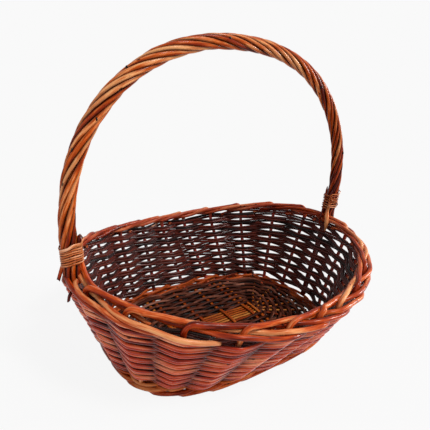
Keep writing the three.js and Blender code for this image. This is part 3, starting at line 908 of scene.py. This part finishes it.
def archPoint(name, height):
    foot = archFoot(name)
    rise = (height - foot[2]) / (handle["height"] - foot[2])
    y = foot[1] - handle["lean"] * rise
    if height < handle["shoulder"]:
        below = (handle["shoulder"] - height) / (handle["shoulder"] - foot[2])
        x = handle["halfWidth"] - (handle["halfWidth"] - abs(foot[0])) * below ** 2
    else:
        share = min((height - handle["shoulder"]) / (handle["height"] - handle["shoulder"]), 1)
        x = handle["halfWidth"] * (1 - share ** handle["squareness"]) ** (1 / handle["squareness"])
    return np.array([sideSigns[name] * x, y, height])


def archSide(name):
    foot = archFoot(name)
    below, above = handle["sidePoints"]
    heights = list(np.linspace(foot[2], handle["shoulder"], below + 1))[:-1]
    lifts = np.sin(np.pi / 2 * np.arange(above) / above) ** (2 / handle["squareness"])
    heights += list(handle["shoulder"] + (handle["height"] - handle["shoulder"]) * lifts)
    return [archPoint(name, height) for height in heights]


archLine = curveThrough(
    [*archSide("left"), archPoint("left", handle["height"]), *archSide("right")[::-1]], handle["step"])


# Frame of the arch at each step: along it, backwards and outwards
def archFrame():
    tangent = unit(np.gradient(archLine, axis=0))
    back = unit(np.array([0, 1, 0]) - tangent * tangent[:, 1:2])
    return tangent, back, np.cross(tangent, back)


def handleRods(rng):
    _, back, outward = archFrame()
    along = distanceAlong(archLine)
    share = along / along[-1]
    rods = []
    for index in range(handle["rods"]):
        wind = turn * (index / handle["rods"] + handle["turns"] * share)
        wind = wind + waver(along, *handle["wind"], rng)
        radius = handle["ropeRadius"] + waver(along, *handle["inOut"], rng)
        spoke = outward * np.cos(wind)[:, None] - back * np.sin(wind)[:, None]
        line = archLine + spoke * radius[:, None]
        ends = []
        for name, place in (("left", 0), ("right", -1)):
            foot = archFoot(name)
            offset = line[place] - foot
            ends.append([foot + offset * np.array([wide, deep, 0]) - np.array([0, 0, down])
                         for wide, deep, down in handle["footPlaces"]])
        line = curveThrough([*ends[0], *line[2:-2], *ends[1][::-1]], handle["rodStep"])
        nearest = [int(np.argmin(np.sum((archLine - point) ** 2, axis=1))) for point in line]
        size = rng.uniform(*handle["sizes"])
        taper = rng.choice([1 + handle["taper"], 1 - handle["taper"]])
        middle, spread = handle["tone"]
        tone = rng.normal() * spread + middle
        # painted shade darkens the right foot, painted light lightens the top
        tone = tone - handle["paintedShade"] * (0.5 + line[:, 0] / handle["halfWidth"] / 2)
        above = np.clip((line[:, 2] - handle["shoulder"]) / handle["paintedLightOver"], 0, 1)
        rods.append({
            "points": line, "paintedShade": handle["rodPaintedShade"], "tone": tone + handle["paintedLight"] * above,
            "out": 0.0, "outward": spoke[nearest],
            "radius": grownRadius(distanceAlong(line), handle["rodDiameter"] * size * taper,
                                  handle["rodDiameter"] * size * (2 - taper), rng),
        })
    return rods


def bowRod():
    ends = []
    for name in sideSigns:
        number = handlePlaces[name]
        angle = float(stakeAngle(number))
        heights = wallTop(angle) * np.array(handle["bowHeights"])
        inBorder = borderPoint(number, wall["columnOut"], handle["bowPass"])
        ends.append([*wallPoint(angle, heights, 0), inBorder])
    line = curveThrough([*ends[0], *archLine[1:-1], *ends[1][::-1]], handle["step"])
    lowest = np.array([archFoot("left")[2], archFoot("right")[2]])
    foot = np.where(line[:, 0] < 0, lowest[0], lowest[1])
    pared = np.clip((foot - line[:, 2]) / handle["paredOver"], 0, 1)
    bare = line[:, 2] > foot
    inWall = handle["bowEnd"] - (handle["bowEnd"] - handle["bowTip"]) * pared
    radius = np.where(bare, handle["bowDiameter"], inWall) / 2
    return {
        "points": line, "radius": radius, "tone": np.where(bare, *handle["bowTones"]),
        "slant": handle["bowSlant"],
        "facing": np.where(line[:, :1] < 0, (1.0, 0, 0), (-1.0, 0, 0)) + (0, 0, handle["upwards"]),
        "flat": (np.where(bare, 1, handle["bowFlat"]), 1.0),
    }


rng = np.random.default_rng(handle["seed"])
addRods("bow_of_handle", [bowRod()], handle["sides"], rng, handleWillow, "willow_handle", "handle_bow")
for index, rod in enumerate(handleRods(rng)):
    name = f"handle_rod_{index + 1}"
    addRods(f"wound_{name}", [rod], handle["sides"], rng, handleWillow, "willow_handle", name)
print("handle rods:", handle["rods"])

# Bound sticks and the skein round each foot
binding = {
    "seed": 67,
    "skeinSides": 10,
    "stickSides": 12,
    "stickSlant": 1.4,
    "loops": {"left": 8, "right": 6},
    "start": {"left": 5, "right": 8},       # above the handle's foot
    "pitch": {"left": 2.6, "right": 3.6},
    "tilt": {"left": 5, "right": 1.5},      # how much higher each loop is towards its high side
    "highSide": math.radians(-35),
    "skein": {"left": 2.5, "right": 2.3},
    "flat": (0.5, 0.76),        # thickness and width of the skein, in radii
    "paintedShade": (0.9, 0.75, 0),    # painted shade: dark along the skein's edges and its inner face
    "tone": {"left": 0.9, "right": -0.2},
    "wander": {"left": 0.4, "right": 0.8},
    "stickSide": 5,
    "stickRadius": 2.1,
    "clearance": 0.6,
    "loopSteps": 48,
    "step": 1.6,
    "stickStep": 2,
    "stickTip": 0.94,           # share of the diameter
    # each stick's tips: share of the radius at the low and the high tip, and the length to the full one
    "tips": ((0.3, 16), (0.4, 8)),
    "burnt": (4, -4),           # dark ends: over this height, and their tone
    "thickerOver": (4, 8),      # where the thicker stretch begins above the foot, and over what height
    "skeinWave": 50,
    "skeinOut": (0.2, 35),
    "skeinTone": (1.4, 70),
    "middleIn": 4,              # the bundle's middle, in from the handle's
    "inward": 9.7,
    "pass": 12.2,               # inside the border's middle, where the sticks go down
    # each stick's diameter, tip above the loops, reach below the border's middle, tone, and how
    # much thicker and further to the front it is below the loops
    "sticks": {
        "left": [(4.2, 6, 10, -0.5, 0, 0), (4.4, 12, 10, 1.5, 0, 0)],
        "right": [(3.4, 12, 8, -3, 0, 0), (4.2, 7, 16, 1.8, 0.6, 4)],
    },
    "lastRoundsOut": 0.5,       # outside the loops, to which half of a stop's looseness is added
    "lastRoundsStep": 4,
    # the skein's last rounds: angle in degrees, height above the foot, looseness, and its width
    "lastRounds": {
        "left": [([(-165, 22, 0), (-120, 25.5, 0.6), (-80, 29.5, 1), (-45, 33.5, 1.4), (-10, 34, 1.6),
                   (40, 31, 1), (100, 27, 0.6), (160, 23, 0)], 1.7)],
        "right": [([(-210, 28, 0), (-125, 31, 0.8), (-60, 35, 1.2), (-20, 36, 1.2), (40, 34, 0.8),
                    (110, 29, 0)], 1.0),
                  ([(-150, 29, 0.4), (-110, 24, 1), (-70, 16, 1.4), (-30, 12, 1), (40, 13, 0)], 1.0)],
    },
}


def bundlePoint(name, member, height):
    middle = archPoint(name, height)
    if member == 0:
        return middle
    side = 1 if member == 1 else -1
    return middle + np.array([-sideSigns[name] * binding["inward"], side * binding["stickSide"], 0])


def bindingTop(name):
    return binding["start"][name] + binding["pitch"][name] * binding["loops"][name]


def boundStick(name, member, rng):
    number = handlePlaces[name]
    diameter, tip, drop, tone, thicker, forward = binding["sticks"][name][member - 1]
    foot = archFoot(name)
    heights = foot[2] + np.array([0, bindingTop(name) / 2, bindingTop(name) + tip])
    high = [bundlePoint(name, member, height) for height in heights]
    beside = borderPoint(number, -binding["pass"], 0)
    beside[1] = high[0][1] - forward
    low = beside.copy()
    low[2] = rimZ(stakeAngle(number)) - drop
    line = curveThrough([low, beside, *high], binding["stickStep"])
    along = distanceAlong(line)
    (lowShare, lowLength), (highShare, highLength) = binding["tips"]
    pointed = np.clip(lowShare + along / lowLength, 0, 1)
    pointed = pointed * np.clip(highShare + (along[-1] - along) / highLength, 0, 1)
    above, over = binding["thickerOver"]
    pointed *= 1 + thicker * np.clip((foot[2] + above - line[:, 2]) / over, 0, 1)
    burntOver, burntTone = binding["burnt"]
    burnt = np.clip((line[:, 2] - foot[2] - bindingTop(name)) / burntOver, 0, 1)
    return {
        "points": line, "tone": tone * (1 - burnt) + burntTone * burnt, "slant": binding["stickSlant"],
        "radius": grownRadius(along, diameter, diameter * binding["stickTip"], rng) * pointed,
    }


# A point on the outside of the bundle that a foot and its sticks make
def aroundBundle(name, angle, height, loose):
    outward = np.array([math.cos(angle), math.sin(angle), 0])
    edges = []
    for member in range(3):
        radius = handle["ropeRadius"] + handle["rodDiameter"] / 2 if member == 0 else binding["stickRadius"]
        middle = bundlePoint(name, member, archFoot(name)[2] + height)
        edges.append(middle + outward * (radius + binding["clearance"] + loose))
    return max(edges, key=lambda edge: edge @ outward)


def skeinRod(name, line, width, rng):
    along = distanceAlong(line)
    line[:, 2] += waver(along, binding["wander"][name], binding["skeinWave"], rng)
    centre = line.copy()
    centre[:, :2] = np.stack([bundlePoint(name, 0, z)[:2] for z in line[:, 2]])
    centre[:, 0] -= sideSigns[name] * binding["middleIn"]
    facing = unit(line - centre)
    line = line + facing * waver(along, *binding["skeinOut"], rng)[:, None]
    thin, wide = binding["flat"]
    return {
        "points": line, "radius": binding["skein"][name] / 2 * width, "facing": facing,
        "flat": (thin / width, wide), "out": 0.0, "outward": facing,
        "paintedShade": binding["paintedShade"],
        "tone": binding["tone"][name] + waver(along, *binding["skeinTone"], rng),
    }


def skeinRods(name, rng):
    steps = binding["loopSteps"]
    points = []
    for i in range(binding["loops"][name] * steps + 1):
        angle = turn * i / steps
        height = binding["start"][name] + binding["pitch"][name] * i / steps
        height += binding["tilt"][name] / 2 * math.cos(angle - binding["highSide"])
        points.append(aroundBundle(name, angle, height, 0))
    rods = [skeinRod(name, evenSteps(np.array(points), binding["step"]), 1, rng)]
    for stops, width in binding["lastRounds"][name]:
        points = [aroundBundle(name, math.radians(degrees), height, binding["lastRoundsOut"] + loose / 2)
                  for degrees, height, loose in curveThrough(stops, binding["lastRoundsStep"])]
        rods.append(skeinRod(name, evenSteps(np.array(points), binding["step"]), width, rng))
    return rods


rng = np.random.default_rng(binding["seed"])
for name in sideSigns:
    for member in (1, 2):
        node = f"bound_stick_{name}_{member}"
        addRods(f"cut_{node}", [boundStick(name, member, rng)], binding["stickSides"], rng,
                stakeWillow, "willow_stake", node)
    addRods(f"skein_{name}", skeinRods(name, rng), binding["skeinSides"], rng,
            skeinWillow, "willow_skein", f"binding_{name}")
print("bindings made")

# Fillers: rods that begin at a handle foot, where the border has no stake to bring one
fillers = {
    "seed": 71,
    "sides": 12,
    "slant": 0.8,
    "diameter": 5.6,
    "taper": 0.6,               # thinner at the tip
    "darker": {"left": 0, "right": 2.2},
    "stubTaper": 0.4,
    "stubStep": 2,
    "stubSlant": 1.0,
    # stops as borderLine takes them
    "left": [(-0.25, -1.9, 2.6), (0, -2.0, 2.1), (0.4, -1.75, 1.35), (1, -1.1, 0.78), (1.4, -1.12, 0.42),
             (1.7, -1.12, 0.06), (2, -1.0, -0.32), (2.4, -0.3, -0.85)],
    "right": [(-0.1, -1.5, 1.2), (0.3, -1.3, 1.1), (1, -1.05, 0.74), (1.4, -1.12, 0.42),
              (1.7, -1.12, 0.06), (2, -1.0, -0.32), (2.4, -0.3, -0.85)],
    "outer": [(-0.1, 0.8, 0.3), (0.25, 1.1, 0.15), (0.7, 1.25, -0.3), (1.2, 1.3, -0.9), (1.6, 1.25, -1.2),
              (1.9, 0.75, -1.6), (2.2, -0.2, -2.0)],
    # cut ends at the left foot, as above, each with its diameter and the tones of its ends
    "stubs": [
        ([(0.02, 1.3, 2.4), (0.05, 1.8, 1.1), (0.08, 2.3, -0.2)], 4.2, (0.5, -4)),
        ([(0.68, 1.4, -1.1), (0.7, 1.8, -1.6), (0.73, 2.1, -2.4)], 3.4, (-5, -6)),
    ],
}
rng = np.random.default_rng(fillers["seed"])
for name in sideSigns:
    rods = []
    for stops in ([fillers["left"], fillers["outer"]] if name == "left" else [fillers["right"]]):
        line = borderLine(handlePlaces[name], stops, stakes["step"])
        tone = rng.normal() - fillers["darker"][name]
        butt, tip = fillers["diameter"], fillers["diameter"] - fillers["taper"]
        radius = grownRadius(distanceAlong(line), butt, tip, rng)
        rods.append({"points": line, "radius": radius, "tone": tone, "slant": fillers["slant"]})
    for stops, diameter, tones in (fillers["stubs"] if name == "left" else []):
        line = borderLine(handlePlaces[name], stops, fillers["stubStep"])
        radius = grownRadius(distanceAlong(line), diameter, diameter - fillers["stubTaper"], rng)
        rods.append({"points": line, "radius": radius, "tone": np.linspace(*tones, len(line)),
                     "slant": fillers["stubSlant"]})
    addRods(f"border_filler_{name}", rods, fillers["sides"], rng, stakeWillow, "willow_stake")
print("border fillers made")

# Knots: black stumps of side shoots on the handle's rods
knots = {
    "seed": 79,
    "radius": 1.5,
    # share of the arch from the left foot, degrees round the rope from its outside towards the front
    "places": [(0.17, 40), (0.22, 95), (0.30, 20), (0.47, 70), (0.70, 110), (0.86, 60)],
    "sunk": 0.3,
    "stretch": ((0.7, 0.7, 1.1), (1.0, 1.0, 1.7)),      # least and most across, deep and high
    "roughness": 0.25,
    "tone": -4,
}


def addKnot(share, degrees, rng):
    along = distanceAlong(archLine)
    index = int(np.searchsorted(along, share * along[-1]))
    _, back, outward = archFrame()
    angle = math.radians(degrees)
    spoke = outward[index] * math.cos(angle) - back[index] * math.sin(angle)
    place = archLine[index] + spoke * (handle["ropeRadius"] + handle["rodDiameter"] / 2 - knots["sunk"])
    bpy.ops.mesh.primitive_ico_sphere_add(subdivisions=2, radius=knots["radius"] * mm, location=place * mm)
    knot = bpy.context.object
    bpy.ops.object.mode_set(mode="EDIT")
    bpy.ops.mesh.select_all(action="SELECT")
    stretch = rng.uniform(*knots["stretch"])
    bpy.ops.transform.resize(value=tuple(stretch), center_override=tuple(place * mm))
    bpy.ops.transform.vertex_random(offset=knots["roughness"] * mm, seed=int(rng.integers(1, 1000)))
    bpy.ops.object.mode_set(mode="OBJECT")
    return knot


rng = np.random.default_rng(knots["seed"])
made = [addKnot(share, degrees, rng) for share, degrees in knots["places"]]
for knot in made:
    knot.select_set(True)
bpy.context.view_layer.objects.active = made[0]
bpy.ops.object.join()
bpy.ops.object.transform_apply(location=True, rotation=True, scale=True)
bpy.ops.object.shade_smooth()
piece = bpy.context.object
piece.name = piece.data.name = "handle_knots"
count = len(piece.data.vertices)
coordinates = np.empty(count * 3)
piece.data.vertices.foreach_get("co", coordinates)
writeWillow(piece.data, coordinates, np.ones(count), np.full(count, float(knots["tone"])))
finishPiece(piece, handleWillow, "willow_handle")
bpy.ops.object.select_all(action="DESELECT")
print("knots:", len(made))

# Floor, light and background
studio = {
    "floorSize": 12000,
    "floor": "#f4f4f4",
    "background": "#f9f9f9",
    "world": 0.34,              # light level from all sides
    "floorNear": 330,           # the floor takes shadow up to here, and fades to the background by
    "floorFar": 620,
    "shadowShare": 0.05,
    "underBase": 0.02,          # share of the background's white that the floor keeps under the base
    "underEdge": (0.88, 1.0),   # and where that ends, as shares of the base's size
    # soft lamps far away: where from, and how strong
    "lamps": {
        "key": ((380, -760, 1250), 2.4),
        "fill": ((-1100, -700, 500), 0.3),
        "side": ((960, -330, 240), 2.0),
    },
    "softness": 14,             # degrees that a lamp spans
}


def rayIsSeen(tree):
    path = addNode(tree, "ShaderNodeLightPath")
    glossy = addNode(tree, "ShaderNodeMath", {"operation": "MAXIMUM"}, {
        0: path.outputs["Is Camera Ray"], 1: path.outputs["Is Glossy Ray"]})
    return addNode(tree, "ShaderNodeMath", {"operation": "MAXIMUM"}, {
        0: glossy.outputs[0], 1: path.outputs["Is Transmission Ray"]}).outputs[0]


def makeStudio():
    world = bpy.data.worlds.new("StudioLight")
    scene.world = world
    world.use_nodes = True
    tree = world.node_tree
    tree.nodes.clear()
    level = studio["world"]
    light = addNode(tree, "ShaderNodeBackground", {"Color": (level, level, level, 1)})
    seen = addNode(tree, "ShaderNodeBackground", {"Color": linearColour(studio["background"])})
    mix = addNode(tree, "ShaderNodeMixShader", links={
        0: rayIsSeen(tree), 1: light.outputs[0], 2: seen.outputs[0]})
    addNode(tree, "ShaderNodeOutputWorld", links={"Surface": mix.outputs[0]})

    bpy.ops.mesh.primitive_plane_add(size=studio["floorSize"] * mm)
    floor = bpy.context.object
    floor.name = "studio_floor"
    paper = bpy.data.materials.new("PaleStudioPaper")
    paper.use_nodes = True
    tree = paper.node_tree
    tree.nodes.clear()
    place = addNode(tree, "ShaderNodeTexCoord").outputs["Object"]
    distance = addNode(tree, "ShaderNodeVectorMath", {"operation": "LENGTH"}, {0: place}).outputs["Value"]
    far = addNode(tree, "ShaderNodeMapRange", {
        "interpolation_type": "SMOOTHSTEP", "From Min": studio["floorNear"] * mm,
        "From Max": studio["floorFar"] * mm, "To Min": 1 - studio["shadowShare"], "To Max": 1},
        {"Value": distance}).outputs[0]
    footprint = addNode(tree, "ShaderNodeMapping", {
        "Scale": (1 / (wall["baseHalfLength"] * mm), 1 / (wall["baseHalfWidth"] * mm), 0)},
        {"Vector": place}).outputs[0]
    under = addNode(tree, "ShaderNodeVectorMath", {"operation": "LENGTH"}, {0: footprint}).outputs["Value"]
    inner, outer = studio["underEdge"]
    beside = addNode(tree, "ShaderNodeMapRange", {
        "interpolation_type": "SMOOTHSTEP", "From Min": inner, "From Max": outer,
        "To Min": studio["underBase"], "To Max": 1}, {"Value": under}).outputs[0]
    pale = addNode(tree, "ShaderNodeMath", {"operation": "MULTIPLY"}, {0: beside, 1: far}).outputs[0]
    share = addNode(tree, "ShaderNodeMath", {"operation": "MULTIPLY"}, {
        0: rayIsSeen(tree), 1: pale}).outputs[0]
    matt = addNode(tree, "ShaderNodeBsdfDiffuse", {"Color": linearColour(studio["floor"])})
    glow = addNode(tree, "ShaderNodeEmission", {"Color": linearColour(studio["background"])})
    mix = addNode(tree, "ShaderNodeMixShader", links={0: share, 1: matt.outputs[0], 2: glow.outputs[0]})
    addNode(tree, "ShaderNodeOutputMaterial", links={"Surface": mix.outputs[0]})
    floor.data.materials.append(paper)
    for name, (place, strength) in studio["lamps"].items():
        bpy.ops.object.light_add(type="SUN", location=Vector(place) * mm)
        lamp = bpy.context.object
        lamp.name = name + "_light"
        lamp.rotation_mode = "QUATERNION"
        lamp.rotation_quaternion = (-Vector(place)).to_track_quat("-Z", "Y")
        lamp.data.angle = math.radians(studio["softness"])
        lamp.data.energy = strength


makeStudio()
scene.view_settings.view_transform = "Standard"
print("studio set")
